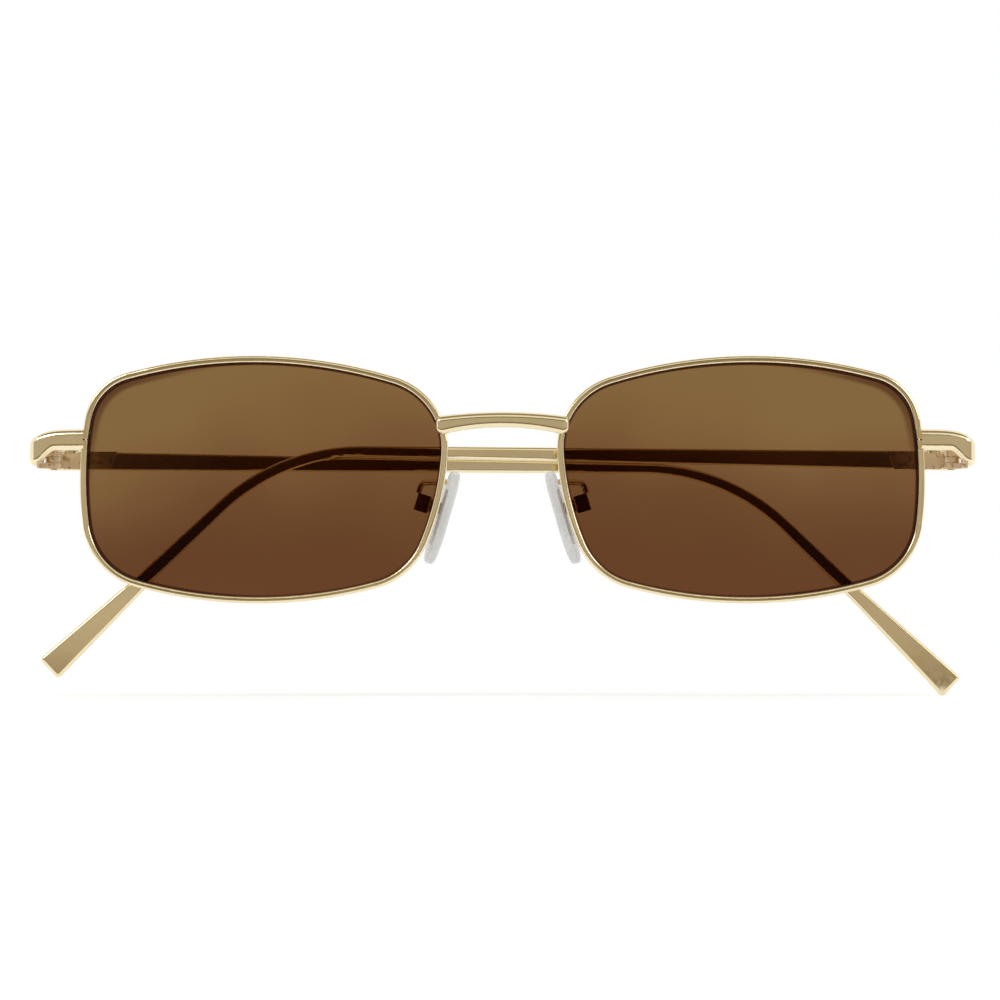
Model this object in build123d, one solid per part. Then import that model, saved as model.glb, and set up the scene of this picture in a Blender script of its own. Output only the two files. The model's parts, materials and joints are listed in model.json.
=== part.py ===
from build123d import *
from math import radians, sqrt, tan
import os

# Narrow rectangular sunglasses with a thin gold metal frame, temples folded.
# X runs along the front, Y from the front to the back, Z up. The origin is the
# datum point: on the midline, halfway up the rims, at the front of the frame.
# Pieces are drawn for the +X side and mirrored for the other one.

# Front of the frame, all on one large sphere
base_curve_radius = 300.0
rim_gap = 16.1
rim_box_width = 55.2
rim_box_height = 36.9
rim_middle_height = 0.13
rim_width = 1.05
rim_depth = 2.0
rim_edge_round = 0.38

# Rim outline: four bulged sides whose corners are rounded, from the upper nasal corner
# outwards and round. Corners and bulges are shares of the half width and half height.
corner_shares = [(-0.988, 0.669), (0.933, 0.786), (0.936, -0.743), (-0.796, -0.795)]
top_bulge_share = 0.269
temporal_bulge_share = 0.066
bottom_bulge_share = 0.231
nasal_bulge_share = 0.083
upper_nasal_radius = 11.1
upper_temporal_radius = 8.5
lower_temporal_radius = 11.0
lower_nasal_radius = 11.0

# Lens, with a bevel that sits in a groove in the rim
lens_thickness = 1.6
lens_set_back = 0.25
bevel_height = 0.42
bevel_length = 0.55
groove_clearance = 0.03

# Bridge, an arched bar laid over both rims
bridge_overlap = 1.9
bridge_top_height = 10.05
bridge_top_arch = 0.68
bridge_middle_height = 2.3
bridge_end_height = 2.95
bridge_thickness = 1.7
bridge_proud = 0.8
bridge_front_round = 0.88
bridge_rear_round = 0.35
bridge_end_round = 1.0

# End piece, a bar that runs outwards and wraps back to the hinge. Its top edge curves down
# ever more steeply to the bend, and its lower edge drops beside the hinge.
end_piece_reach = 7.75
bar_thickness = 1.35
end_piece_front_height = 3.2
end_piece_front_middle = 6.22
end_piece_bend_top = 6.5
end_piece_bend_bottom = 2.3
end_piece_rear_height = 2.5
end_piece_overlap = 0.65
end_piece_proud = 0.3
end_piece_bend_radius = 1.0
end_piece_edge_round = 0.95
end_piece_bend_share = 0.74
end_piece_lower_drop_share = 0.42
end_piece_top_power = 4.6
end_piece_steps = 20

# Hinge
hinge_set_back = 3.5
hinge_middle = 3.35
knuckle_radius = 1.25
knuckle_height = 0.85
knuckle_gap = 0.05
hinge_leaf_thickness = 0.7
hinge_front_leaf_length = 2.6
hinge_temple_leaf_length = 8.1
hinge_leaf_seat = 0.12
hinge_leaf_slant = 20.0
hinge_clearance = 0.1
hinge_screw_radius = 0.6
hinge_bore_clearance = 0.04
hinge_screw_head_radius = 1.0
hinge_screw_head_height = 0.4
hinge_screw_tail = 0.2

# Temple, a bar as thick as the end piece that narrows to the bend and widens to a flat tip
temple_root_height = 3.0
temple_bend_height = 1.6
temple_flare_height = 2.3
temple_tip_height = 4.2
temple_length = 149.2
temple_tip_length = 19.0
temple_bend_radius = 31.0
temple_flare_radius = 60.0
temple_tip_round = 0.75
temple_edge_round = 0.5

# How each temple is fitted: how far along it is bent and by how much, how far it leans
# towards the lenses when folded, and how far it climbs away from its hinge
right_temple_bend_run = 101.0
left_temple_bend_run = 101.8
right_temple_bend_angle = 44.3
left_temple_bend_angle = 43.5
right_fold_lean = 0.7
left_fold_lean = -1.0
right_temple_climb = 0.9
left_temple_climb = -0.7

# Closing block behind the end piece, in two halves pulled together by a screw
closing_height = 3.0
closing_saw_cut = 0.2
closing_recess = 0.5
closing_block_clearance = 0.1
closing_block_depth = 2.4
closing_block_round = 0.4
closing_screw_radius = 0.6
closing_screw_clearance = 0.03
closing_screw_head_radius = 1.0
closing_screw_head_height = 0.5
closing_screw_blind = 0.3

# Screw slots
slot_width = 0.25
slot_depth = 0.18

# Nose pad
pad_length = 14.4
pad_width = 7.4
pad_top_width = 5.6
pad_thickness = 1.9
pad_edge_round = 0.7
pad_outset = 1.0
pad_middle_height = -5.45
pad_middle_depth = 7.0
pad_tilt = 16.8
pad_splay = 6.0

# Metal insert of the pad, with a tongue that reaches the screw
core_length = 8.6
core_width = 3.4
core_thickness = 0.4
core_depth = 0.3
tongue_length = 1.7
tongue_thickness = 0.9

# Cup that holds the tongue, and its screw
pad_pivot_gap = 2.1
pad_pivot_rise = 1.2
cup_wall = 0.5
cup_length = 2.6
cup_play = 0.05
cup_floor_gap = 0.1
cup_round = 0.5
pad_screw_radius = 0.45
pad_screw_clearance = 0.03
pad_screw_head_radius = 0.8
pad_screw_head_height = 0.4

# Wire that carries the cup
arm_radius = 0.45
arm_root_height = -0.3
arm_seat = 0.2
arm_reach = 1.8
arm_out = 0.8
arm_end_run = 1.6
arm_front_bend = 1.0
arm_rear_bend = 1.1

# Overrun of all cutting tools
overrun = 2.0


# Places worked out from the sizes above
rim_centre = rim_gap / 2 + rim_box_width / 2
half_width = rim_box_width / 2
half_height = rim_box_height / 2
temporal_edge = rim_gap / 2 + rim_box_width
outer_side = temporal_edge + end_piece_reach
knuckle_stack = 3 * knuckle_height + 2 * knuckle_gap
hinge_offset = knuckle_radius + knuckle_gap + hinge_leaf_thickness
hinge_side = outer_side - bar_thickness - hinge_offset
leaf_start = knuckle_radius + hinge_clearance
closing_middle = end_piece_front_middle
closing_block_width = hinge_side - knuckle_radius - closing_block_clearance - temporal_edge
pad_middle_spread = rim_gap / 2 + pad_outset
pad_pivot_drop = pad_thickness / 2 + pad_pivot_gap


def front_y(x, z=0.0, set_back=0.0):
    """How far back the front surface lies at x and z."""
    radius = base_curve_radius - set_back
    return base_curve_radius - sqrt(radius**2 - x**2 - z**2)


hinge_depth = front_y(outer_side) + hinge_set_back
hinge_point = (hinge_side, hinge_depth, hinge_middle)


def front_shell(set_back, thickness):
    """Spherical shell that every front piece is cut from."""
    radius = base_curve_radius - set_back
    return Pos(0, base_curve_radius, 0) * (Sphere(radius) - Sphere(radius - thickness))


def block(x_range, y_range, z_range):
    """Box between the given limits."""
    low, high = zip(x_range, y_range, z_range)
    size = [b - a for a, b in zip(low, high)]
    return Pos(*low) * Box(*size, align=(Align.MIN, Align.MIN, Align.MIN))


def upright_rod(radius, low, high):
    """Rod along Z on the local axis."""
    return Pos(0, 0, low) * Cylinder(radius, high - low, align=(Align.CENTER, Align.CENTER, Align.MIN))


def edges_across(solid, axis):
    """Edges that don't run along the axis."""
    return solid.edges().filter_by(axis, reverse=True)


# Rims and lenses
def rim_outline(inset):
    """Outline of the rim, drawn in by the inset, as a face on the front plane."""
    corners = [
        (rim_centre + x * half_width, rim_middle_height + z * half_height) for x, z in corner_shares
    ]
    bulges = [
        top_bulge_share * half_height,
        temporal_bulge_share * half_width,
        bottom_bulge_share * half_height,
        nasal_bulge_share * half_width,
    ]
    radii = [upper_nasal_radius, upper_temporal_radius, lower_temporal_radius, lower_nasal_radius]
    sides = [
        SagittaArc(start, end, bulge)
        for start, end, bulge in zip(corners, corners[1:] + corners[:1], bulges)
    ]
    discs = [Pos(side.arc_center) * Circle(side.radius - inset) for side in sides]
    face = discs[0] & discs[1] & discs[2] & discs[3]
    for corner, radius in zip(corners, radii):
        nearest = face.vertices().sort_by_distance((*corner, 0))[0]
        face = fillet(nearest, radius - inset)
    return Plane.XZ * face


def front_prism(inset):
    """The rim outline drawn in by the inset and pushed through the whole front."""
    face = Pos(0, -overrun, 0) * rim_outline(inset)
    return extrude(face, amount=hinge_depth + overrun, dir=(0, 1, 0))


def rim_ring(set_back):
    """Ring of the rim's outline and width, without its groove."""
    ring = front_prism(0) - front_prism(rim_width)
    return ring & front_shell(set_back, rim_depth - set_back)


def lens_blank(clearance):
    """Lens with its bevelled edge, grown all round by the clearance."""
    disc = front_prism(rim_width - bevel_height - clearance)
    disc = disc & front_shell(lens_set_back - clearance, lens_thickness + 2 * clearance)
    return chamfer(edges_across(disc, Axis.Y), bevel_length)


def closing_zone(low, high):
    """Space of the closing block, on the temporal side of the rim."""
    return block((rim_centre, outer_side), (-overrun, hinge_depth), (low, high))


def make_rim():
    ring = rim_ring(0)
    ring = fillet(edges_across(ring, Axis.Y), rim_edge_round)
    gap = closing_zone(closing_middle - closing_height / 2, closing_middle + closing_height / 2)
    return ring - lens_blank(groove_clearance) - gap


def make_lens():
    return lens_blank(0)


def filled(rim):
    """The rim with its groove filled, which the pieces laid over it are cut by."""
    return rim + lens_blank(groove_clearance)


# Closing block
def closing_axis():
    """Where the closing screw stands, just outside the rim."""
    inner = temporal_edge
    return (inner + closing_block_width / 2, front_y(inner) + rim_depth + closing_block_depth / 2)


def closing_half(low, high):
    """One half of the closing block, between two heights."""
    x, y = closing_axis()
    body = block(
        (temporal_edge - rim_width, temporal_edge + closing_block_width),
        (front_y(temporal_edge) + rim_depth / 2, y + closing_block_depth / 2),
        (low, high),
    )
    body = fillet(body.edges().filter_by(Axis.Z), closing_block_round)
    half = body + (rim_ring(closing_recess) & closing_zone(low, high))
    return half - lens_blank(groove_clearance)


def closing_screw_solid(clearance):
    """Closing screw with its head underneath, grown by the clearance."""
    low = closing_middle - closing_height / 2
    high = low + closing_height - closing_screw_blind
    shank = upright_rod(closing_screw_radius + clearance, low - closing_screw_head_height, high + clearance)
    return Pos(*closing_axis(), 0) * shank


def make_closing_upper():
    low = closing_middle + closing_saw_cut / 2
    half = closing_half(low, closing_middle + closing_height / 2)
    return half - closing_screw_solid(closing_screw_clearance)


def make_closing_lower():
    high = closing_middle - closing_saw_cut / 2
    half = closing_half(closing_middle - closing_height / 2, high)
    return half - closing_screw_solid(closing_screw_clearance)


def screw_slot(radius, top):
    """Cut for a driver's blade in a head whose top is at the given height."""
    slot = Box(slot_width, 2 * radius + overrun, 2 * slot_depth)
    return Pos(0, 0, top) * slot


def make_closing_screw():
    low = closing_middle - closing_height / 2
    head = upright_rod(closing_screw_head_radius, low - closing_screw_head_height, low)
    head = head - screw_slot(closing_screw_head_radius, low - closing_screw_head_height)
    shank = closing_screw_solid(0) - Pos(*closing_axis(), 0) * upright_rod(
        closing_screw_head_radius, low - 2 * closing_screw_head_height, low
    )
    return shank + Pos(*closing_axis(), 0) * head


# Bridge
def make_bridge(rim):
    half = rim_gap / 2 + bridge_overlap
    end_top = bridge_top_height - bridge_top_arch
    end_bottom = end_top - bridge_end_height
    middle_bottom = bridge_top_height - bridge_middle_height
    top = ThreePointArc((-half, end_top), (0, bridge_top_height), (half, end_top))
    bottom = ThreePointArc((-half, end_bottom), (0, middle_bottom), (half, end_bottom))
    ends = [Line((side * half, end_top), (side * half, end_bottom)) for side in (-1, 1)]
    face = make_face([top, bottom, *ends])
    face = fillet(face.vertices(), bridge_end_round)
    face = Plane.XZ * face
    bar = extrude(Pos(0, -bridge_proud, 0) * face, amount=bridge_thickness, dir=(0, 1, 0))
    bar = fillet(bar.faces().sort_by(Axis.Y)[0].edges(), bridge_front_round)
    bar = fillet(bar.faces().sort_by(Axis.Y)[-1].edges(), bridge_rear_round)
    return bar - rim - mirror(rim, about=Plane.YZ)


# End piece
def end_piece_path():
    """Middle line of the strip in plan, from over the rim to the hinge."""
    x = temporal_edge - end_piece_overlap
    y = front_y(x, end_piece_front_middle) - end_piece_proud + bar_thickness / 2
    outer = outer_side - bar_thickness / 2
    slope = x / sqrt(base_curve_radius**2 - x**2)
    corner = (outer, y + (outer - x) * slope)
    rear = (outer, hinge_depth - hinge_clearance)
    return FilletPolyline((x, y), corner, rear, radius=end_piece_bend_radius)


def eased(share):
    """A share kept from zero to one, with soft ends."""
    share = min(1, max(0, share))
    return share**2 * (3 - 2 * share)


def end_piece_edges(share):
    """Heights of the strip's top and bottom at a share of the way from the rim to the hinge."""
    front_top = end_piece_front_middle + end_piece_front_height / 2
    front_bottom = end_piece_front_middle - end_piece_front_height / 2
    rear_top = hinge_middle + temple_root_height / 2
    rear_bottom = rear_top - end_piece_rear_height
    if share > end_piece_bend_share:
        rear = 1 - ((1 - share) / (1 - end_piece_bend_share)) ** 2
        top = end_piece_bend_top + (rear_top - end_piece_bend_top) * rear
        bottom = end_piece_bend_bottom + (rear_bottom - end_piece_bend_bottom) * rear
    else:
        reach = share / end_piece_bend_share
        sunk = eased((share - end_piece_lower_drop_share) / (end_piece_bend_share - end_piece_lower_drop_share))
        top = front_top + (end_piece_bend_top - front_top) * reach**end_piece_top_power
        bottom = front_bottom + (end_piece_bend_bottom - front_bottom) * sunk
    return top, bottom


def end_piece_section(path, share):
    """Section between the edges at a share of the way, rounded on its outer side."""
    top, bottom = end_piece_edges(share)
    height = top - bottom
    place = path @ share
    plane = Plane((place.X, place.Y, (top + bottom) / 2), x_dir=(0, 0, 1), z_dir=path % share)
    bar = Rectangle(height, bar_thickness)
    return plane * fillet(bar.vertices().group_by(Axis.Y)[-1], end_piece_edge_round)


def make_end_piece(neighbours):
    path = end_piece_path()
    shares = [step / end_piece_steps for step in range(end_piece_steps + 1)]
    return loft([end_piece_section(path, share) for share in shares]) - neighbours


# Hinge, drawn open round its own axis, with the temple behind it
def knuckle(low, high, way, seat):
    """One knuckle with its web, which runs forwards or backwards to the leaf."""
    ring = upright_rod(knuckle_radius, low, high)
    edge = way * hinge_clearance
    reach = way * leaf_start
    web = block((0, hinge_offset + seat), sorted((edge, reach)), (low, high))
    return ring + web


def hinge_leaf(length, way, seat):
    """Plate brazed to the inside of the end piece or the temple, let into it by its seat."""
    inner = hinge_offset - hinge_leaf_thickness
    span = sorted((way * leaf_start, way * (leaf_start + length)))
    half = knuckle_stack / 2
    return block((inner, hinge_offset + seat), span, (-half, half))


def hinge_bore():
    return upright_rod(hinge_screw_radius + hinge_bore_clearance, -knuckle_stack, knuckle_stack)


def make_hinge_front(end_piece):
    top = knuckle_stack / 2
    upper = knuckle(top - knuckle_height, top, -1, hinge_leaf_seat)
    lower = knuckle(-top, knuckle_height - top, -1, hinge_leaf_seat)
    solid = upper + lower + hinge_leaf(hinge_front_leaf_length, -1, hinge_leaf_seat)
    return Pos(*hinge_point) * (solid - hinge_bore()) - end_piece


def hinge_temple_solid():
    """Middle knuckle and the long leaf, whose end is cut on a slant."""
    half = knuckle_height / 2
    leaf = hinge_leaf(hinge_temple_leaf_length, 1, 0)
    end = leaf_start + hinge_temple_leaf_length
    lean = knuckle_stack * tan(radians(hinge_leaf_slant))
    cut = Polyline(
        (end, knuckle_stack / 2),
        (end - lean, -knuckle_stack / 2),
        (end, -knuckle_stack / 2),
        close=True,
    )
    leaf = leaf - extrude(Plane.YZ * make_face(cut), amount=hinge_offset)
    return knuckle(-half, half, 1, 0) + leaf - hinge_bore()


def make_hinge_screw():
    top = knuckle_stack / 2
    shank = upright_rod(hinge_screw_radius, -top - hinge_screw_tail, top)
    head = upright_rod(hinge_screw_head_radius, top, top + hinge_screw_head_height)
    head = fillet(head.edges().group_by(Axis.Z)[-1], slot_depth)
    screw = shank + head - screw_slot(hinge_screw_head_radius, top + hinge_screw_head_height)
    return Pos(*hinge_point) * screw


# Temple
def temple_outline(bend_run, bend_angle, climb):
    """Side view of the temple, along its middle line with a height at each station."""
    start = Vector(hinge_clearance, 0)
    bend = Vector(bend_run, 0)
    along = Vector(1, 0).rotate(Axis.Z, -bend_angle)
    tip = bend + along * (temple_length - bend_run)
    flare = tip - along * temple_tip_length
    up = Vector(0, 1)
    bend_up = up.rotate(Axis.Z, -bend_angle / 2)
    tip_up = up.rotate(Axis.Z, -bend_angle)
    stations = [
        (start, up * (temple_root_height / 2)),
        (bend, bend_up * (temple_bend_height / 2)),
        (flare, tip_up * (temple_flare_height / 2)),
        (tip, tip_up * (temple_tip_height / 2)),
    ]
    points = [place + rise for place, rise in stations] + [place - rise for place, rise in stations[::-1]]
    face = make_face(Polyline(*points, close=True))
    half = temple_bend_height / 2
    rounds = [
        (points[1], temple_bend_radius + half),
        (points[6], temple_bend_radius - half),
        (points[2], temple_flare_radius),
        (points[5], temple_flare_radius),
        (points[3], temple_tip_round),
        (points[4], temple_tip_round),
    ]
    for point, radius in rounds:
        face = fillet(face.vertices().sort_by_distance(point)[0], radius)
    return Plane.YZ * Rot(0, 0, climb) * face


def temple_solid(bend_run, bend_angle, climb):
    face = Pos(hinge_offset, 0, 0) * temple_outline(bend_run, bend_angle, climb)
    bar = extrude(face, amount=bar_thickness, dir=(1, 0, 0))
    root = bar.faces().sort_by(Axis.Y)[0]
    long_edges = [
        edge for edge in edges_across(bar, Axis.X) if (edge.center() - root.center()).Y > hinge_clearance
    ]
    return fillet(long_edges, temple_edge_round)


def folded(solid, lean):
    """Turn an open piece about the hinge to where it lies when folded."""
    return Pos(*hinge_point) * Rot(0, 0, 90 + lean) * solid


# Nose pad and its mounting, drawn round a point of the pad level with its screw: X towards the
# front, Y up the pad, Z towards the nose
def pad_place():
    tilt = Vector(0, 0, 1).rotate(Axis.Y, -pad_tilt)
    towards_nose = Vector(-1, 0, 0).rotate(Axis.Y, -pad_tilt)
    plane = Plane((pad_middle_spread, pad_middle_depth, pad_middle_height), x_dir=(0, -1, 0), z_dir=towards_nose)
    return plane.location * Rot(0, -pad_splay, 0) * Pos(0, pad_pivot_rise, 0)


def pad_rod(radius, low, high):
    """Rod along the pad screw's axis, which runs from the back to the front."""
    return Pos(0, 0, -pad_pivot_drop) * Rot(0, 90, 0) * upright_rod(radius, low, high)


def pad_oval(length, width, top_width):
    """Egg-shaped face round the pad's middle, narrower at its top."""
    low = Pos(0, (width - length) / 2) * Circle(width / 2)
    high = Pos(0, (length - top_width) / 2) * Circle(top_width / 2)
    return Pos(0, -pad_pivot_rise) * make_hull(low.edges() + high.edges())


def core_solid():
    """Insert plate with the tongue that the screw goes through."""
    top_width = core_width * pad_top_width / pad_width
    plate = extrude(pad_oval(core_length, core_width, top_width), amount=core_thickness)
    plate = Pos(0, 0, -core_depth - core_thickness) * plate
    tongue = block(
        (-tongue_thickness / 2, tongue_thickness / 2),
        (-tongue_length / 2, tongue_length / 2),
        (-pad_pivot_drop, -core_depth - core_thickness),
    )
    eye = pad_rod(tongue_length / 2, -tongue_thickness / 2, tongue_thickness / 2)
    return plate + tongue + eye


def make_nose_pad():
    pad = extrude(pad_oval(pad_length, pad_width, pad_top_width), amount=pad_thickness / 2, both=True)
    pad = fillet(edges_across(pad, Axis.Z), pad_edge_round)
    return pad_place() * (pad - core_solid())


def cup_half_width():
    return tongue_thickness / 2 + cup_play + cup_wall


def make_pad_core():
    bore = pad_rod(pad_screw_radius + pad_screw_clearance, -overrun, overrun)
    return pad_place() * (core_solid() - bore)


def make_pad_cup():
    half = cup_half_width()
    floor = pad_pivot_drop + tongue_length / 2 + cup_floor_gap
    rim = pad_pivot_drop - tongue_length / 2
    cup = block((-half, half), (-cup_length / 2, cup_length / 2), (-floor - cup_wall, -rim))
    cup = fillet(cup.faces().sort_by(Axis.Z)[-1].edges().filter_by(Axis.X), cup_round)
    slot = block(
        (cup_wall - half, half - cup_wall),
        (-cup_length, cup_length),
        (-floor, overrun - rim),
    )
    bore = pad_rod(pad_screw_radius + pad_screw_clearance, -2 * half, 2 * half)
    return pad_place() * (cup - slot - bore)


def make_pad_screw():
    half = cup_half_width()
    shank = pad_rod(pad_screw_radius, -half, half)
    head = upright_rod(pad_screw_head_radius, -half - pad_screw_head_height, -half)
    head = head - screw_slot(pad_screw_head_radius, -half - pad_screw_head_height)
    head = Pos(0, 0, -pad_pivot_drop) * Rot(0, 90, 0) * head
    return pad_place() * (shank + head)


def make_pad_arm(rim):
    """Wire from the back of the rim to the end of the cup's floor."""
    base = -pad_pivot_drop - tongue_length / 2 - cup_floor_gap - arm_radius
    ends = [pad_place() * Pos(0, cup_length / 2 + run, base) for run in (arm_end_run, 0)]
    root_x = (rim_gap + rim_width) / 2
    root_y = front_y(root_x) + rim_depth
    points = [
        (root_x, root_y - arm_seat, arm_root_height),
        (root_x + arm_out, root_y + arm_reach, arm_root_height),
        ends[0].position,
        ends[1].position,
    ]
    path = FilletPolyline(*points, radius=(arm_front_bend, arm_rear_bend))
    wire = sweep(Plane(path @ 0, z_dir=path % 0) * Circle(arm_radius), path)
    return wire - rim


def make_side():
    """The pieces that are the same on both sides, drawn for +X."""
    rim = make_rim()
    upper = make_closing_upper()
    lower = make_closing_lower()
    end_piece = make_end_piece(filled(rim) + upper + lower)
    return {
        "rim": rim,
        "lens": make_lens(),
        "closing_block_upper": upper,
        "closing_block_lower": lower,
        "closing_screw": make_closing_screw(),
        "end_piece": end_piece,
        "hinge_front": make_hinge_front(end_piece),
        "hinge_screw": make_hinge_screw(),
        "pad_arm": make_pad_arm(rim),
        "pad_box": make_pad_cup(),
        "pad_screw": make_pad_screw(),
        "pad_core": make_pad_core(),
        "nose_pad": make_nose_pad(),
    }


def make_temple_side(bend_run, bend_angle, fold_lean, climb):
    """The temple and its half of the hinge, folded, drawn for +X."""
    return {
        "hinge_temple": folded(hinge_temple_solid(), fold_lean),
        "temple": folded(temple_solid(bend_run, bend_angle, climb), fold_lean),
    }


def main():
    os.makedirs("parts", exist_ok=True)
    shared = make_side()
    right = shared | make_temple_side(
        right_temple_bend_run, right_temple_bend_angle, right_fold_lean, right_temple_climb
    )
    left = shared | make_temple_side(
        left_temple_bend_run, left_temple_bend_angle, left_fold_lean, left_temple_climb
    )
    nodes = {"bridge": make_bridge(filled(shared["rim"]))}
    for name in right:
        nodes[f"{name}_right"] = right[name]
        nodes[f"{name}_left"] = mirror(left[name], about=Plane.YZ)
    for name, solid in nodes.items():
        export_step(solid, f"parts/{name}.step")


main()
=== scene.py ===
import json
import math
from collections import namedtuple

import bmesh
import bpy
from mathutils import Matrix, Vector
from mathutils.geometry import convex_hull_2d


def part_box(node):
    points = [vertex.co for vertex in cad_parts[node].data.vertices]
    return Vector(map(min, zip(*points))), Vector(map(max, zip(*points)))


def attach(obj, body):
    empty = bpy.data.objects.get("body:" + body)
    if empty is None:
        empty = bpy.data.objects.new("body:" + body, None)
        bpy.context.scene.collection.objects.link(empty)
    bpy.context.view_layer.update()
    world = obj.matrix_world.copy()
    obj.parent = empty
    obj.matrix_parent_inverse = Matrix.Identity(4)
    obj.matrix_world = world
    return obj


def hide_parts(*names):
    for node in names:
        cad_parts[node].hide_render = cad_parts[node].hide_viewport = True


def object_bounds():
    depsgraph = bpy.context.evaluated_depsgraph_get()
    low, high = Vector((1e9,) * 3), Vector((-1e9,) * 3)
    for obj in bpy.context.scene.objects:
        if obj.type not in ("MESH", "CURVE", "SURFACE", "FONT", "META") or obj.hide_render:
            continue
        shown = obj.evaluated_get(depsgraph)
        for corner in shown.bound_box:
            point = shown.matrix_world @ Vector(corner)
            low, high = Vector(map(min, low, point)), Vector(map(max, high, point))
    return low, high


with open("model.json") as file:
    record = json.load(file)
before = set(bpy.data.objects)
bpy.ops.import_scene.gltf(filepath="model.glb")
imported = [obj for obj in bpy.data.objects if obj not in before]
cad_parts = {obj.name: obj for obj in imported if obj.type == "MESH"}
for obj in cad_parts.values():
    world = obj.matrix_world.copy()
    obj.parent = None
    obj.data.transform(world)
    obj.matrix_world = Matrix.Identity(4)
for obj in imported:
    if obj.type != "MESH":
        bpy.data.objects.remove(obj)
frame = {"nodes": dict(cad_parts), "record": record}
cad_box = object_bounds()

# Narrow rectangular sunglasses with a polished pale gold frame and brown lenses.
# All lengths are in metres. X runs along the front, Y to the back, Z up.
MILLIMETRE = 0.001
SIDES = ("left", "right")
WHITE = (1.0, 1.0, 1.0)

# A noise has a scale in cycles per metre, a detail, and the band of its values that is used.
# A relief is how strongly and how deeply a noise bends the light on a surface.
Noise = namedtuple("Noise", "scale detail band", defaults=(None,))
Relief = namedtuple("Relief", "strength depth")
Metal = namedtuple("Metal", "name colour deep_colour tone tone_strength roughness")
Lamp = namedtuple("Lamp", "size power place")

# Camera, before the object and a very little below it. The elevation is in degrees, and the
# focal length and the sensor's width are in millimetres.
CAMERA_DISTANCE = 0.7
CAMERA_ELEVATION = -2.0
CAMERA_LENS = 170.1
CAMERA_SENSOR = 36
CAMERA_SHIFT = (-0.0025, -0.0205)

# Light, with the level of the soft surroundings, and the lamps. Only the side lamps show in
# the polished metal.
SURROUNDINGS_LEVEL = 0.5
LAMPS = {
    "overhead_lamp": Lamp(size=0.9, power=3.0, place=(0.0, -0.2, 1.1)),
    "rear_lamp": Lamp(size=0.6, power=1.4, place=(0.5, 1.2, 0.8)),
    "left_lamp": Lamp(size=0.25, power=0.6, place=(-0.5, -0.45, 0.35)),
    "right_lamp": Lamp(size=0.25, power=0.45, place=(0.55, -0.35, 0.25)),
}
SIDE_LAMPS = ("left_lamp", "right_lamp")

# The banded card curves from the floor close before the object to overhead. Its elevations
# and distances are measured from the object. Its bands are pairs of a height and a colour.
CARD_WIDTH = 2.6
CARD_STEPS = 32
CARD_ELEVATIONS = (-31.0, 96.0)
CARD_DISTANCES = (0.062, 1.35)
CARD_NEAR_SHARE = 0.95
CARD_BANDS = (
    (-0.033, (0.24, 0.18, 0.10)),
    (-0.024, (0.50, 0.435, 0.345)),
    (0.04, (0.53, 0.47, 0.37)),
    (0.08, (0.26, 0.20, 0.11)),
    (0.20, (0.26, 0.20, 0.11)),
    (0.30, (1.0, 0.97, 0.88)),
    (0.70, (1.0, 0.97, 0.88)),
    (0.90, (0.34, 0.28, 0.19)),
    (1.36, (0.30, 0.25, 0.17)),
)
CARD_CLOUDS = Noise(scale=16, detail=1, band=(0.35, 0.65))
CARD_CLOUD_LEVELS = (0.82, 1.14)

# Floor, which is given back the light that falls off away from the object
FLOOR_SIZE = 6.0
FLOOR_COLOUR = (0.8, 0.8, 0.79)
FLOOR_GRAIN = Noise(scale=9, detail=3, band=(0.3, 0.7))
FLOOR_GRAIN_LEVEL = 0.985
FLOOR_GLOWS = (0.4, 0.66)
FLOOR_GLOW_REACH = (0.06, 0.45)

# Metals. Each has a tone that mixes in its deeper colour, fine polishing marks that make it
# rougher, and a slight wave.
EVEN_TONE = Noise(scale=120, detail=2, band=(0.35, 0.7))
EVEN_TONE_STRENGTH = 0.3
PITTED_TONE = Noise(scale=1100, detail=2, band=(0.54, 0.62))
PITTED_TONE_STRENGTH = 0.6
METALS = {
    "frame_metal": Metal(
        name="pale_gold",
        colour=(0.90, 0.79, 0.54),
        deep_colour=(0.85, 0.71, 0.43),
        tone=EVEN_TONE,
        tone_strength=EVEN_TONE_STRENGTH,
        roughness=(0.05, 0.12),
    ),
    "hinge_metal": Metal(
        name="rose_gold",
        colour=(0.95, 0.78, 0.57),
        deep_colour=(0.42, 0.23, 0.10),
        tone=PITTED_TONE,
        tone_strength=PITTED_TONE_STRENGTH,
        roughness=(0.42, 0.6),
    ),
    "screw_metal": Metal(
        name="screw_gold",
        colour=(0.78, 0.68, 0.44),
        deep_colour=(0.66, 0.44, 0.26),
        tone=EVEN_TONE,
        tone_strength=EVEN_TONE_STRENGTH,
        roughness=(0.14, 0.26),
    ),
    "core_metal": Metal(
        name="insert_steel",
        colour=(0.62, 0.61, 0.58),
        deep_colour=(0.36, 0.35, 0.33),
        tone=EVEN_TONE,
        tone_strength=EVEN_TONE_STRENGTH,
        roughness=(0.2, 0.36),
    ),
}
POLISHING_MARKS = Noise(scale=1700, detail=4, band=(0.3, 0.75))
POLISHING_RELIEF = Relief(strength=0.03, depth=0.05 * MILLIMETRE)
METAL_WAVE = Noise(scale=420, detail=1)
METAL_WAVE_RELIEF = Relief(strength=0.02, depth=0.3 * MILLIMETRE)

# Lens, on the sphere that the whole front follows
FRONT_RADIUS = 300 * MILLIMETRE
LENS_SET_BACK = 0.25 * MILLIMETRE
LENS_THICKNESS = 1.6 * MILLIMETRE
LENS_BEVEL = 0.55 * MILLIMETRE
LENS_EDGE_POINTS = 240
LENS_RINGS = 24
LENS_RING_GROWTH = 1.28

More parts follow.
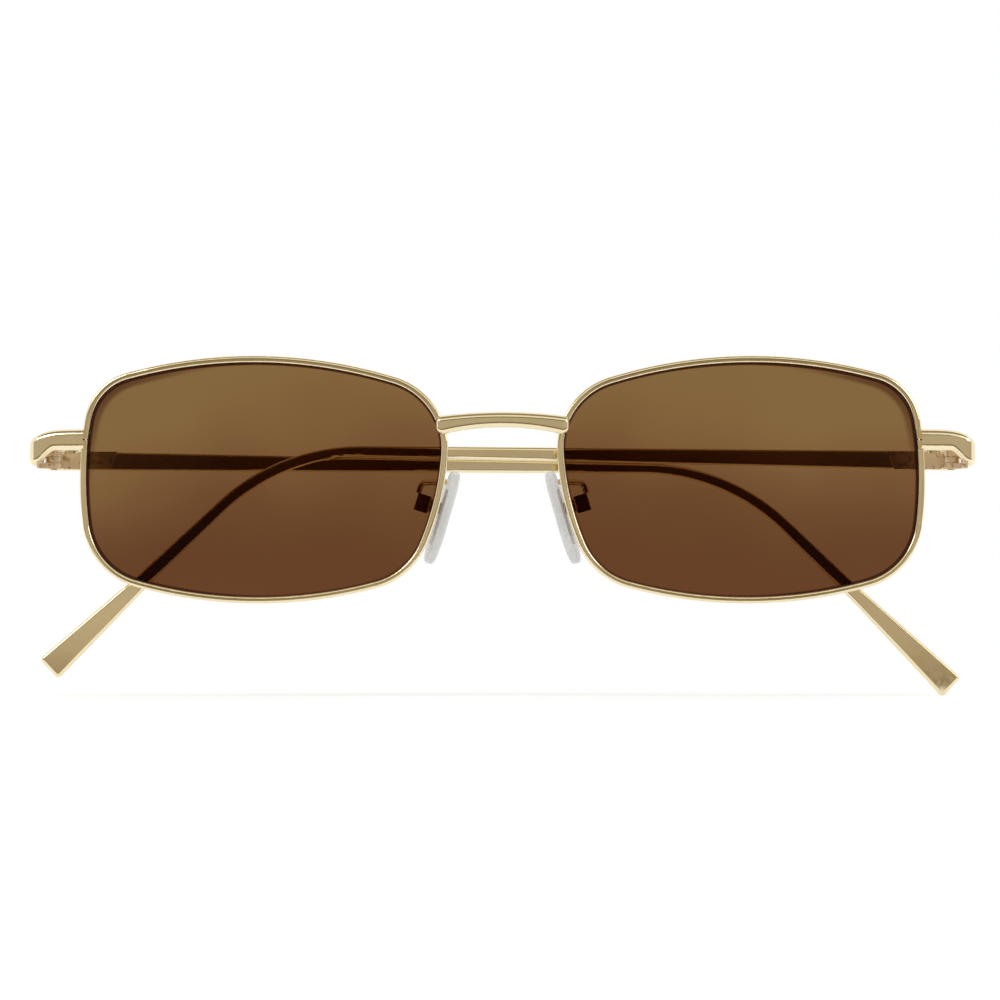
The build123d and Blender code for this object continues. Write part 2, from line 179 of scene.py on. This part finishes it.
# Lens tint. The tints are what both faces let through together, at shares of the height from
# the bottom. The mottle and the side lift shift those shares.
LENS_TINTS = (
    (0.02, (0.140, 0.056, 0.022)),
    (0.30, (0.128, 0.050, 0.019)),
    (0.58, (0.190, 0.092, 0.034)),
    (0.80, (0.228, 0.128, 0.047)),
    (0.98, (0.236, 0.137, 0.050)),
)
LENS_MOTTLE = Noise(scale=38, detail=1.5, band=(0.3, 0.7))
LENS_MOTTLE_SHARES = (-0.12, 0.12)
LENS_SIDE_LIFT = 0.16
LENS_GLOSS_COLOUR = (1.0, 0.99, 0.97)
LENS_GLOSS_ROUGHNESS = 0.02
LENS_GLOSS_BLEND = 0.08

# The painted shade along the lens edge, for the rim's groove that holds it: a dark line, wider
# at the top and the outer side, and a softer painted shade that spreads from it at the outer top
# corner. The corner's slope is its height over its width from the middle, and its power is how
# closely the shade keeps to it.
PAINTED_EDGE_SHADE_COLOUR = (0.036, 0.0075, 0.0028)
EDGE_LINE = 0.46 * MILLIMETRE
EDGE_TOP_EXTRA = 0.12 * MILLIMETRE
EDGE_SIDE_EXTRA = 0.16 * MILLIMETRE
EDGE_FADE = 0.2 * MILLIMETRE
CORNER_EXTRA = 0.7 * MILLIMETRE
CORNER_FADE = 0.7 * MILLIMETRE
CORNER_SHADE = 0.5
CORNER_SLOPE = 0.62
CORNER_POWER = 10

# Nose pads, milky silicone. The crown is how square the cushion's section is.
PAD_EDGE_POINTS = 96
PAD_RINGS = 18
PAD_CROWN = 5.0
PAD_COLOUR = (0.86, 0.87, 0.86)
PAD_REFRACTION = 1.41
PAD_CLOUDS = Noise(scale=220, detail=2, band=(0.3, 0.7))
PAD_OPACITIES = (0.42, 0.6)
PAD_SPECKS = Noise(scale=2600, detail=2, band=(0.3, 0.7))
PAD_ROUGHNESS = (0.16, 0.3)
PAD_RELIEF = Relief(strength=0.08, depth=0.05 * MILLIMETRE)

# Fineness of the measuring and smoothing of meshes
OUTLINE_SMOOTHINGS = 3
AXIS_START = (0.3, 0.5, 0.8)
AXIS_ROUNDS = 200
WELD_DISTANCE = 0.001 * MILLIMETRE


# Shader helpers
def new_material(name):
    material = bpy.data.materials.new(name)
    material.use_nodes = True
    tree = material.node_tree
    tree.nodes.clear()
    output = tree.nodes.new("ShaderNodeOutputMaterial")
    return material, tree, output


def add_node(tree, kind, **values):
    """A node whose inputs are set from plain values or linked from sockets."""
    node = tree.nodes.new(kind)
    for key, value in values.items():
        name = key.replace("_", " ")
        if name not in node.inputs:
            setattr(node, key, value)
        elif isinstance(value, bpy.types.NodeSocket):
            tree.links.new(value, node.inputs[name])
        elif node.inputs[name].type == "RGBA":
            node.inputs[name].default_value = (*value, 1.0)
        else:
            node.inputs[name].default_value = value
    return node


def join_node(tree, kind, *sources, **values):
    """The result of a node whose first inputs are linked from the sources in their order."""
    node = add_node(tree, kind, **values)
    for source, socket in zip(sources, node.inputs):
        tree.links.new(source, socket)
    return node.outputs[0]


def maths(tree, operation, *sources):
    return join_node(tree, "ShaderNodeMath", *sources, operation=operation)


def own_place(tree):
    """The piece's own coordinates."""
    return add_node(tree, "ShaderNodeTexCoord").outputs["Object"]


def noise_value(tree, noise):
    """A noise on the piece's own coordinates."""
    node = add_node(
        tree, "ShaderNodeTexNoise", Vector=own_place(tree), Scale=noise.scale, Detail=noise.detail
    )
    return node.outputs["Fac"]


def remap(tree, value, band, levels):
    """A value whose band becomes the levels, and which stays within them."""
    node = add_node(tree, "ShaderNodeMapRange", Value=value)
    node.inputs["From Min"].default_value, node.inputs["From Max"].default_value = band
    node.inputs["To Min"].default_value, node.inputs["To Max"].default_value = levels
    return node.outputs[0]


def noise_levels(tree, noise, levels):
    return remap(tree, noise_value(tree, noise), noise.band, levels)


def relief_normal(tree, height, relief, **values):
    """The surface's direction when a height is laid on it."""
    node = add_node(
        tree, "ShaderNodeBump", Height=height, Strength=relief.strength, Distance=relief.depth,
        **values,
    )
    return node.outputs[0]


def mix_colour(tree, factor, first, second):
    node = add_node(tree, "ShaderNodeMix", data_type="RGBA")
    sockets = {socket.identifier: socket for socket in node.inputs}
    tree.links.new(factor, sockets["Factor_Float"])
    for name, colour in (("A_Color", first), ("B_Color", second)):
        if isinstance(colour, bpy.types.NodeSocket):
            tree.links.new(colour, sockets[name])
        else:
            sockets[name].default_value = (*colour, 1.0)
    return next(socket for socket in node.outputs if socket.identifier == "Result_Color")


def colour_ramp(tree, value, stops, interpolation):
    """Colours that follow a value, from pairs of a value and a colour."""
    low, high = stops[0][0], stops[-1][0]
    ramp = add_node(tree, "ShaderNodeValToRGB", Fac=remap(tree, value, (low, high), (0.0, 1.0)))
    ramp.color_ramp.interpolation = interpolation
    elements = ramp.color_ramp.elements
    while len(elements) < len(stops):
        elements.new(0.5)
    for element, (place, colour) in zip(elements, stops):
        element.position = (place - low) / (high - low)
        element.color = (*colour, 1.0)
    return ramp.outputs[0]


# Finishes
def polished_metal(metal):
    """Metal with changes of tone, fine polishing marks and a slight wave."""
    material, tree, output = new_material(metal.name)
    tone = noise_levels(tree, metal.tone, (0.0, metal.tone_strength))
    marks = noise_value(tree, POLISHING_MARKS)
    wave = relief_normal(tree, noise_value(tree, METAL_WAVE), METAL_WAVE_RELIEF)
    shader = add_node(
        tree, "ShaderNodeBsdfPrincipled",
        Base_Color=mix_colour(tree, tone, metal.colour, metal.deep_colour),
        Roughness=remap(tree, marks, POLISHING_MARKS.band, metal.roughness),
        Normal=relief_normal(tree, marks, POLISHING_RELIEF, Normal=wave),
        Metallic=1.0,
    )
    tree.links.new(shader.outputs[0], output.inputs[0])
    return material


def one_face(tint):
    """The share of light that one face lets through, where the two let the tint through."""
    return [math.sqrt(part) for part in tint]


def lens_tint(tree, low, high):
    """Brown that is lighter and yellower towards the top and the outer side, with a painted shade
    along the edge for the rim's groove. The corners are those of a box round the lens on the
    right."""
    place = add_node(tree, "ShaderNodeSeparateXYZ", Vector=own_place(tree)).outputs
    height = remap(tree, place["Z"], (low.z, high.z), (0.0, 1.0))
    mottle = noise_levels(tree, LENS_MOTTLE, LENS_MOTTLE_SHARES)
    outwards = maths(tree, "ABSOLUTE", place["X"])
    lift = remap(tree, outwards, ((low.x + high.x) / 2, high.x), (0.0, LENS_SIDE_LIFT))
    shifted = maths(tree, "ADD", maths(tree, "ADD", height, mottle), lift)
    tints = [(share, one_face(tint)) for share, tint in LENS_TINTS]
    colour = colour_ramp(tree, shifted, tints, "B_SPLINE")
    # Painted shade of the rim's groove, darkening the tint along the lens edge
    shade = add_node(tree, "ShaderNodeAttribute", attribute_name="painted_edge_shade").outputs["Fac"]
    return mix_colour(tree, shade, colour, one_face(PAINTED_EDGE_SHADE_COLOUR))


def lens_material(name, low, high):
    """Tinted and clear, with a gloss that grows towards a grazing view."""
    material, tree, output = new_material(name)
    clear = add_node(tree, "ShaderNodeBsdfTransparent", Color=lens_tint(tree, low, high))
    gloss = add_node(
        tree, "ShaderNodeBsdfGlossy", Color=LENS_GLOSS_COLOUR, Roughness=LENS_GLOSS_ROUGHNESS
    )
    slant = add_node(tree, "ShaderNodeLayerWeight", Blend=LENS_GLOSS_BLEND).outputs["Facing"]
    mixed = join_node(tree, "ShaderNodeMixShader", slant, clear.outputs[0], gloss.outputs[0])
    tree.links.new(mixed, output.inputs[0])
    return material


def pad_material(name):
    """Clear silicone, slightly milky, with a soft gloss."""
    material, tree, output = new_material(name)
    specks = noise_value(tree, PAD_SPECKS)
    shader = add_node(
        tree, "ShaderNodeBsdfPrincipled",
        Base_Color=PAD_COLOUR,
        Roughness=remap(tree, specks, PAD_SPECKS.band, PAD_ROUGHNESS),
        Normal=relief_normal(tree, specks, PAD_RELIEF),
        Alpha=noise_levels(tree, PAD_CLOUDS, PAD_OPACITIES),
        IOR=PAD_REFRACTION,
    )
    tree.links.new(shader.outputs[0], output.inputs[0])
    return material


# Meshes
def mesh_piece(name, vertices, faces, material):
    """A smooth piece from points in the frame's own coordinates."""
    mesh = bpy.data.meshes.new(name)
    mesh.from_pydata([tuple(v) for v in vertices], [], faces)
    mesh.materials.append(material)
    mesh.polygons.foreach_set("use_smooth", [True] * len(mesh.polygons))
    mesh.update()
    piece = bpy.data.objects.new(name, mesh)
    bpy.context.scene.collection.objects.link(piece)
    return piece


def spaced_points(corners, count):
    """Evenly spaced points along a closed line through the corners."""
    lengths = [(b - a).length for a, b in zip(corners, corners[1:] + corners[:1])]
    total = sum(lengths)
    points = []
    edge, walked = 0, 0.0
    for step in range(count):
        target = total * step / count
        while walked + lengths[edge] < target:
            walked += lengths[edge]
            edge += 1
        share = (target - walked) / lengths[edge]
        points.append(corners[edge].lerp(corners[(edge + 1) % len(corners)], share))
    return points


def outline_of(points, count):
    """Evenly spaced points along the outline round flat points, smoothed a little."""
    hull = [Vector(points[i]) for i in convex_hull_2d([tuple(p) for p in points])]
    outline = spaced_points(hull, count)
    for _ in range(OUTLINE_SMOOTHINGS):
        outline = [
            (outline[i - 1] + 2 * outline[i] + outline[(i + 1) % count]) / 4 for i in range(count)
        ]
    return outline


def drawn_in(outline, distance):
    """The outline moved inwards by a distance."""
    count = len(outline)
    moved = []
    for i, point in enumerate(outline):
        along = (outline[(i + 1) % count] - outline[i - 1]).normalized()
        moved.append(point + Vector((-along.y, along.x)) * distance)
    return moved


def ring_faces(rings, count, first, turned):
    """Quads between rings of points, with the last ring closed by one point. The rings start
    at the first point, and turned faces look the other way."""
    faces = []
    for ring in range(rings - 1):
        for i in range(count):
            j = (i + 1) % count
            a, b = ring * count, (ring + 1) * count
            faces.append((a + i, a + j, b + j, b + i))
    centre = rings * count
    last = (rings - 1) * count
    faces += [(last + i, last + (i + 1) % count, centre) for i in range(count)]
    faces = [tuple(first + i for i in face) for face in faces]
    return [tuple(reversed(face)) for face in faces] if turned else faces


def smooth_share(share):
    """A share kept from zero to one, with soft ends."""
    share = min(1.0, max(0.0, share))
    return share * share * (3 - 2 * share)


# Lens
def front_depth(point, set_back):
    """How far back the front's sphere lies behind a point of its outline plane."""
    radius = FRONT_RADIUS - set_back
    return FRONT_RADIUS - math.sqrt(radius**2 - point.length_squared)


def painted_edge_shade(distance, point, middle, outwards):
    """How dark the painted shade of the rim's groove makes the lens at a distance from its edge:
    a line, and a softer painted shade that widens it at the outer top corner."""
    way = (point - middle).normalized()
    corner = Vector((outwards, CORNER_SLOPE)).normalized()
    facing = max(0.0, way.dot(corner)) ** CORNER_POWER
    top_extra = EDGE_TOP_EXTRA * max(0.0, way.y)
    side_extra = EDGE_SIDE_EXTRA * max(0.0, way.x * outwards)
    past = distance - (EDGE_LINE + top_extra + side_extra)
    shade = 1 - smooth_share(past / EDGE_FADE)
    corner_shade = 1 - smooth_share((past - CORNER_EXTRA * facing) / CORNER_FADE)
    return max(shade, CORNER_SHADE * facing * corner_shade)


def lens_shades(outline, rings, middle):
    """The painted edge shade at each point of one face, from its outline in to its middle."""
    outwards = 1 if middle.x > 0 else -1
    shades = [
        painted_edge_shade((point - edge).length, point, middle, outwards)
        for ring in (outline, *rings)
        for point, edge in zip(ring, outline)
    ]
    return [*shades, 0.0]


def lens_rings(outline, middle):
    """The rings inside a face's bevel, closer together towards the edge."""
    steps = [LENS_RING_GROWTH**k for k in range(LENS_RINGS)]
    shares = [sum(steps[:k]) / sum(steps) for k in range(LENS_RINGS)]
    start = drawn_in(outline, LENS_BEVEL)
    return [[point.lerp(middle, share) for point in start] for share in shares]


def lens_points(outline, rings, middle, edge_set_back, set_back):
    """The points of one face, from its outline, which has a set back of its own, in to its
    middle."""
    placed = [(point, edge_set_back) for point in outline]
    placed += [(point, set_back) for ring in rings for point in ring]
    placed.append((middle, set_back))
    return [Vector((point.x, front_depth(point, depth), point.y)) for point, depth in placed]


def build_lens(side, material):
    """The lens, finer than its solid, with a bevelled edge and a dark line of painted shade along
    it.
    """
    node = frame["nodes"][f"lens_{side}"]
    outline = outline_of([(v.co.x, v.co.z) for v in node.data.vertices], LENS_EDGE_POINTS)
    middle = sum(outline, Vector((0, 0))) / LENS_EDGE_POINTS
    rings = lens_rings(outline, middle)
    front, back = LENS_SET_BACK, LENS_SET_BACK + LENS_THICKNESS
    vertices = lens_points(outline, rings, middle, front + LENS_BEVEL, front)
    face_size = len(vertices)
    vertices += lens_points(outline, rings, middle, back - LENS_BEVEL, back)
    faces = ring_faces(LENS_RINGS + 1, LENS_EDGE_POINTS, 0, turned=False)
    faces += ring_faces(LENS_RINGS + 1, LENS_EDGE_POINTS, face_size, turned=True)
    for i in range(LENS_EDGE_POINTS):
        j = (i + 1) % LENS_EDGE_POINTS
        faces.append((j, i, face_size + i, face_size + j))
    piece = mesh_piece(f"lens_face_{side}", vertices, faces, material)
    # The painted shade of the rim's groove, stored at each point of both faces
    attribute = piece.data.attributes.new("painted_edge_shade", "FLOAT", "POINT")
    attribute.data.foreach_set("value", 2 * lens_shades(outline, rings, middle))
    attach(piece, "front")
    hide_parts(f"lens_{side}")


# Nose pad
def principal_axes(points):
    """Middle of the points, and their directions from the longest to the shortest."""
    middle = sum(points, Vector()) / len(points)
    spread = Matrix.Diagonal((0, 0, 0))
    for point in points:
        d = point - middle
        spread += Matrix([[a * b for b in d] for a in d])
    axes = []
    for _ in range(2):
        axis = Vector(AXIS_START)
        for _ in range(AXIS_ROUNDS):
            axis = (spread @ axis).normalized()
        axes.append(axis)
        size = (spread @ axis).length
        spread -= Matrix([[size * a * b for b in axis] for a in axis])
    axes.append(axes[0].cross(axes[1]))
    return middle, axes


def pad_face(outline, low, high, way):
    """The points of one crowned face, from the pad's widest outline in to its middle, along
    the pad's own axes."""
    centre = sum(outline, Vector((0, 0))) / len(outline)
    half, level = (high - low) / 2, (high + low) / 2
    points = []
    for ring in range(PAD_RINGS):
        angle = math.pi / 2 * ring / PAD_RINGS
        share = math.cos(angle) ** (2 / PAD_CROWN)
        rise = math.sin(angle) ** (2 / PAD_CROWN)
        height = level + way * half * rise
        points += [Vector((*centre.lerp(point, share), height)) for point in outline]
    points.append(Vector((*centre, level + way * half)))
    return points


def weld(piece):
    """Joins the points that lie in one place, and turns all faces outwards."""
    welded = bmesh.new()
    welded.from_mesh(piece.data)
    bmesh.ops.remove_doubles(welded, verts=welded.verts, dist=WELD_DISTANCE)
    bmesh.ops.recalc_face_normals(welded, faces=welded.faces)
    welded.to_mesh(piece.data)
    welded.free()


def build_pad(side, material):
    """The nose pad: an egg-shaped cushion, crowned on both faces."""
    node = frame["nodes"][f"nose_pad_{side}"]
    points = [v.co.copy() for v in node.data.vertices]
    middle, (long_axis, wide_axis, thin_axis) = principal_axes(points)
    if thin_axis.x * middle.x > 0:
        thin_axis, wide_axis = -thin_axis, -wide_axis
    to_own = Matrix((long_axis, wide_axis, thin_axis))
    own = [to_own @ (point - middle) for point in points]
    outline = outline_of([point.xy for point in own], PAD_EDGE_POINTS)
    low, high = min(point.z for point in own), max(point.z for point in own)
    vertices, faces = [], []
    for way in (1, -1):
        faces += ring_faces(PAD_RINGS, PAD_EDGE_POINTS, len(vertices), turned=way < 0)
        face = pad_face(outline, low, high, way)
        vertices += [middle + to_own.transposed() @ point for point in face]
    piece = mesh_piece(f"silicone_pad_{side}", vertices, faces, material)
    weld(piece)
    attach(piece, f"pad_{side}")
    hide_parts(f"nose_pad_{side}")


def dress_nodes(materials):
    """Gives each carried-over solid the finish of its slot."""
    slots = {row["node"]: row["material_slot"] for row in frame["record"]["subparts"]}
    for name, node in frame["nodes"].items():
        node.data.materials.clear()
        node.data.materials.append(materials[slots[name]])


# Surroundings
def between(ends, share):
    """The value at a share of the way from one end to the other."""
    low, high = ends
    return low + share * (high - low)


def before_object(distance, elevation, x=0.0):
    """A point before the object, at a distance from its long axis and an elevation in degrees."""
    angle = math.radians(elevation)
    return Vector((x, -distance * math.cos(angle), distance * math.sin(angle)))


def aim(thing, target):
    thing.rotation_mode = "QUATERNION"
    thing.rotation_quaternion = (Vector(target) - thing.location).to_track_quat("-Z", "Y")


def add_camera():
    camera = bpy.data.objects.new("camera", bpy.data.cameras.new("camera"))
    bpy.context.scene.collection.objects.link(camera)
    camera.location = before_object(CAMERA_DISTANCE, CAMERA_ELEVATION)
    aim(camera, (0, 0, 0))
    camera.data.lens = CAMERA_LENS
    camera.data.sensor_width = CAMERA_SENSOR
    camera.data.shift_x, camera.data.shift_y = CAMERA_SHIFT
    bpy.context.scene.camera = camera


def seen_directly(tree):
    """One for rays from the camera, off a gloss or through glass, else zero."""
    rays = add_node(tree, "ShaderNodeLightPath").outputs
    indirect = maths(tree, "MAXIMUM", rays["Is Glossy Ray"], rays["Is Transmission Ray"])
    return maths(tree, "MAXIMUM", rays["Is Camera Ray"], indirect)


def add_world():
    """White where it is seen, and softer as a light."""
    world = bpy.data.worlds.new("surroundings")
    bpy.context.scene.world = world
    world.use_nodes = True
    tree = world.node_tree
    tree.nodes.clear()
    strength = remap(tree, seen_directly(tree), (0.0, 1.0), (SURROUNDINGS_LEVEL, 1.0))
    background = add_node(tree, "ShaderNodeBackground", Color=WHITE, Strength=strength)
    output = tree.nodes.new("ShaderNodeOutputWorld")
    tree.links.new(background.outputs[0], output.inputs[0])


def add_lamps():
    for name, (size, power, place) in LAMPS.items():
        light = bpy.data.lights.new(name, "AREA")
        light.size = size
        light.energy = power
        lamp = bpy.data.objects.new(name, light)
        bpy.context.scene.collection.objects.link(lamp)
        lamp.location = place
        lamp.visible_camera = False
        lamp.visible_glossy = name in SIDE_LAMPS
        aim(lamp, (0, 0, 0))


def floor_material(name):
    """Pale, with a faint grain and a glow that grows away from the object."""
    material, tree, output = new_material(name)
    grain_colour = tuple(FLOOR_GRAIN_LEVEL * part for part in FLOOR_COLOUR)
    grain = noise_levels(tree, FLOOR_GRAIN, (0.0, 1.0))
    colour = mix_colour(tree, grain, FLOOR_COLOUR, grain_colour)
    diffuse = add_node(tree, "ShaderNodeBsdfDiffuse", Color=colour)
    away = add_node(tree, "ShaderNodeVectorMath", operation="LENGTH", Vector=own_place(tree))
    rising = remap(tree, away.outputs["Value"], FLOOR_GLOW_REACH, FLOOR_GLOWS)
    glow = maths(tree, "MULTIPLY", seen_directly(tree), rising)
    emission = add_node(tree, "ShaderNodeEmission", Color=WHITE, Strength=glow)
    both = join_node(tree, "ShaderNodeAddShader", diffuse.outputs[0], emission.outputs[0])
    tree.links.new(both, output.inputs[0])
    return material


def add_floor(level):
    half = FLOOR_SIZE / 2
    corners = [(x * half, y * half, 0) for x, y in ((-1, -1), (1, -1), (1, 1), (-1, 1))]
    floor = mesh_piece("floor", corners, [(0, 1, 2, 3)], floor_material("pale_floor"))
    floor.location.z = level


def card_material(name):
    """Bands of light by height, with soft clouds in them."""
    material, tree, output = new_material(name)
    height = add_node(tree, "ShaderNodeSeparateXYZ", Vector=own_place(tree)).outputs["Z"]
    bands = colour_ramp(tree, height, CARD_BANDS, "LINEAR")
    clouds = noise_levels(tree, CARD_CLOUDS, CARD_CLOUD_LEVELS)
    emission = add_node(tree, "ShaderNodeEmission", Color=bands, Strength=clouds)
    tree.links.new(emission.outputs[0], output.inputs[0])
    return material


def add_card():
    """A card that curves up from the floor, which the polished metal shows as soft bands."""
    vertices = []
    for step in range(CARD_STEPS + 1):
        share = step / CARD_STEPS
        elevation = between(CARD_ELEVATIONS, share)
        distance = between(CARD_DISTANCES, smooth_share(share / CARD_NEAR_SHARE))
        for x in (-CARD_WIDTH / 2, CARD_WIDTH / 2):
            vertices.append(before_object(distance, elevation, x))
    faces = [(2 * k, 2 * k + 1, 2 * k + 3, 2 * k + 2) for k in range(CARD_STEPS)]
    card = mesh_piece("card", vertices, faces, card_material("banded_card"))
    card.visible_camera = False
    card.visible_shadow = False
    card.visible_diffuse = False


lens_low, lens_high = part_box("lens_right")
materials = {slot: polished_metal(metal) for slot, metal in METALS.items()}
materials["lens_tint"] = lens_material("brown_lens", lens_low, lens_high)
materials["pad_clear"] = pad_material("clear_silicone")
dress_nodes(materials)
for side in SIDES:
    build_lens(side, materials["lens_tint"])
    build_pad(side, materials["pad_clear"])

add_floor(cad_box[0].z)
add_card()
add_world()
add_lamps()
add_camera()
bpy.context.scene.view_settings.view_transform = "Standard"
